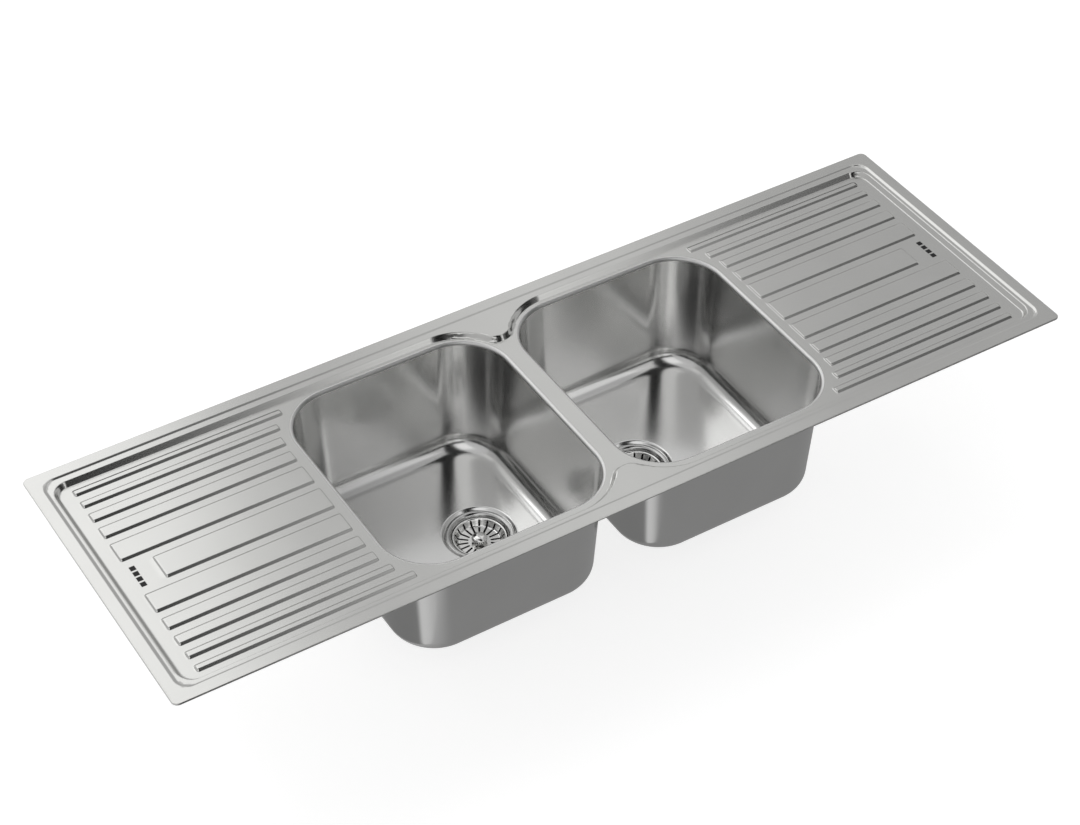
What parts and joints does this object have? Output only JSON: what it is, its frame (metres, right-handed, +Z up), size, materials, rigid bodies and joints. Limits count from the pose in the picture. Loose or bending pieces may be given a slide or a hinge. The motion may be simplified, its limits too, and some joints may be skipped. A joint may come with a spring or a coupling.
{
  "type": "double bowl kitchen sink",
  "caption": "Inset steel kitchen sink with paired deep bowls, a ribbed drainer at each end, basket strainer wastes and swivelling clips under the rim.",
  "frame": {"origin": "middle of the sink on the worktop plane, where the foam strip under the rim seats", "axes": "+X to the right along the sink, +Y towards the back, +Z up"},
  "size_m": [1.5, 0.5, 0.293],
  "materials": {
    "deck_steel": "fine brushed",
    "bowl_steel": "satin",
    "waste_steel": "bright satin",
    "bright_steel": "polished",
    "clip_steel": "zinc plated",
    "foam": "closed cell foam",
    "rubber": "matt",
    "pad": "matt",
    "waste_plastic": "matt"
  },
  "bodies": {
    "sink": {"sink_deck": "deck_steel", "rim_seal": "foam", "clip_brackets": "clip_steel", "clip_pins": "clip_steel", "left_bowl": "bowl_steel", "left_sound_pad": "pad", "left_waste_flange": "waste_steel", "left_waste_upper_gasket": "rubber", "left_waste_lower_gasket": "rubber", "left_waste_body": "waste_plastic", "left_waste_screw": "bright_steel", "right_bowl": "bowl_steel", "right_sound_pad": "pad", "right_waste_flange": "waste_steel", "right_waste_upper_gasket": "rubber", "right_waste_lower_gasket": "rubber", "right_waste_body": "waste_plastic", "right_waste_screw": "bright_steel"},
    "left_strainer": {"left_basket": "waste_steel", "left_basket_knob": "bright_steel", "left_basket_stopper": "rubber", "left_basket_stem": "bright_steel"},
    "right_strainer": {"right_basket": "waste_steel", "right_basket_knob": "bright_steel", "right_basket_stopper": "rubber", "right_basket_stem": "bright_steel"},
    "claw_front_1": {"clip_claw_front_1": "clip_steel"},
    "clamp_screw_front_1": {"clip_screw_front_1": "clip_steel"},
    "claw_front_2": {"clip_claw_front_2": "clip_steel"},
    "clamp_screw_front_2": {"clip_screw_front_2": "clip_steel"},
    "claw_front_3": {"clip_claw_front_3": "clip_steel"},
    "clamp_screw_front_3": {"clip_screw_front_3": "clip_steel"},
    "claw_front_4": {"clip_claw_front_4": "clip_steel"},
    "clamp_screw_front_4": {"clip_screw_front_4": "clip_steel"},
    "claw_front_5": {"clip_claw_front_5": "clip_steel"},
    "clamp_screw_front_5": {"clip_screw_front_5": "clip_steel"},
    "claw_back_1": {"clip_claw_back_1": "clip_steel"},
    "clamp_screw_back_1": {"clip_screw_back_1": "clip_steel"},
    "claw_back_2": {"clip_claw_back_2": "clip_steel"},
    "clamp_screw_back_2": {"clip_screw_back_2": "clip_steel"},
    "claw_back_3": {"clip_claw_back_3": "clip_steel"},
    "clamp_screw_back_3": {"clip_screw_back_3": "clip_steel"},
    "claw_back_4": {"clip_claw_back_4": "clip_steel"},
    "clamp_screw_back_4": {"clip_screw_back_4": "clip_steel"},
    "claw_back_5": {"clip_claw_back_5": "clip_steel"},
    "clamp_screw_back_5": {"clip_screw_back_5": "clip_steel"},
    "claw_left": {"clip_claw_left": "clip_steel"},
    "clamp_screw_left": {"clip_screw_left": "clip_steel"},
    "claw_right": {"clip_claw_right": "clip_steel"},
    "clamp_screw_right": {"clip_screw_right": "clip_steel"}
  },
  "joints": [
    {"name": "left_strainer_lift", "type": "slide", "parent": "sink", "child": "left_strainer", "axis": [0, 0, 1], "range_m": [0, 0.25]},
    {"name": "right_strainer_lift", "type": "slide", "parent": "sink", "child": "right_strainer", "axis": [0, 0, 1], "range_m": [0, 0.25]},
    {"name": "claw_front_1_swing", "type": "hinge", "parent": "sink", "child": "claw_front_1", "pos_m": [-0.65, -0.2252, -0.0165], "axis": [-1, 0, 0], "range_deg": [0, 120]},
    {"name": "clamp_screw_front_1_travel", "type": "slide", "parent": "claw_front_1", "child": "clamp_screw_front_1", "axis": [0, 0, -1], "range_m": [0, 0.008]},
    {"name": "claw_front_2_swing", "type": "hinge", "parent": "sink", "child": "claw_front_2", "pos_m": [-0.45, -0.2252, -0.0165], "axis": [-1, 0, 0], "range_deg": [0, 120]},
    {"name": "clamp_screw_front_2_travel", "type": "slide", "parent": "claw_front_2", "child": "clamp_screw_front_2", "axis": [0, 0, -1], "range_m": [0, 0.008]},
    {"name": "claw_front_3_swing", "type": "hinge", "parent": "sink", "child": "claw_front_3", "pos_m": [0, -0.2252, -0.0165], "axis": [-1, 0, 0], "range_deg": [0, 120]},
    {"name": "clamp_screw_front_3_travel", "type": "slide", "parent": "claw_front_3", "child": "clamp_screw_front_3", "axis": [0, 0, -1], "range_m": [0, 0.008]},
    {"name": "claw_front_4_swing", "type": "hinge", "parent": "sink", "child": "claw_front_4", "pos_m": [0.45, -0.2252, -0.0165], "axis": [-1, 0, 0], "range_deg": [0, 120]},
    {"name": "clamp_screw_front_4_travel", "type": "slide", "parent": "claw_front_4", "child": "clamp_screw_front_4", "axis": [0, 0, -1], "range_m": [0, 0.008]},
    {"name": "claw_front_5_swing", "type": "hinge", "parent": "sink", "child": "claw_front_5", "pos_m": [0.65, -0.2252, -0.0165], "axis": [-1, 0, 0], "range_deg": [0, 120]},
    {"name": "clamp_screw_front_5_travel", "type": "slide", "parent": "claw_front_5", "child": "clamp_screw_front_5", "axis": [0, 0, -1], "range_m": [0, 0.008]},
    {"name": "claw_back_1_swing", "type": "hinge", "parent": "sink", "child": "claw_back_1", "pos_m": [-0.65, 0.2252, -0.0165], "axis": [1, 0, 0], "range_deg": [0, 120]},
    {"name": "clamp_screw_back_1_travel", "type": "slide", "parent": "claw_back_1", "child": "clamp_screw_back_1", "axis": [0, 0, -1], "range_m": [0, 0.008]},
    {"name": "claw_back_2_swing", "type": "hinge", "parent": "sink", "child": "claw_back_2", "pos_m": [-0.45, 0.2252, -0.0165], "axis": [1, 0, 0], "range_deg": [0, 120]},
    {"name": "clamp_screw_back_2_travel", "type": "slide", "parent": "claw_back_2", "child": "clamp_screw_back_2", "axis": [0, 0, -1], "range_m": [0, 0.008]},
    {"name": "claw_back_3_swing", "type": "hinge", "parent": "sink", "child": "claw_back_3", "pos_m": [0, 0.2252, -0.0165], "axis": [1, 0, 0], "range_deg": [0, 120]},
    {"name": "clamp_screw_back_3_travel", "type": "slide", "parent": "claw_back_3", "child": "clamp_screw_back_3", "axis": [0, 0, -1], "range_m": [0, 0.008]},
    {"name": "claw_back_4_swing", "type": "hinge", "parent": "sink", "child": "claw_back_4", "pos_m": [0.45, 0.2252, -0.0165], "axis": [1, 0, 0], "range_deg": [0, 120]},
    {"name": "clamp_screw_back_4_travel", "type": "slide", "parent": "claw_back_4", "child": "clamp_screw_back_4", "axis": [0, 0, -1], "range_m": [0, 0.008]},
    {"name": "claw_back_5_swing", "type": "hinge", "parent": "sink", "child": "claw_back_5", "pos_m": [0.65, 0.2252, -0.0165], "axis": [1, 0, 0], "range_deg": [0, 120]},
    {"name": "clamp_screw_back_5_travel", "type": "slide", "parent": "claw_back_5", "child": "clamp_screw_back_5", "axis": [0, 0, -1], "range_m": [0, 0.008]},
    {"name": "claw_left_swing", "type": "hinge", "parent": "sink", "child": "claw_left", "pos_m": [-0.7252, 0, -0.0165], "axis": [0, 1, 0], "range_deg": [0, 120]},
    {"name": "clamp_screw_left_travel", "type": "slide", "parent": "claw_left", "child": "clamp_screw_left", "axis": [0, 0, -1], "range_m": [0, 0.008]},
    {"name": "claw_right_swing", "type": "hinge", "parent": "sink", "child": "claw_right", "pos_m": [0.7252, 0, -0.0165], "axis": [0, -1, 0], "range_deg": [0, 120]},
    {"name": "clamp_screw_right_travel", "type": "slide", "parent": "claw_right", "child": "clamp_screw_right", "axis": [0, 0, -1], "range_m": [0, 0.008]}
  ]
}
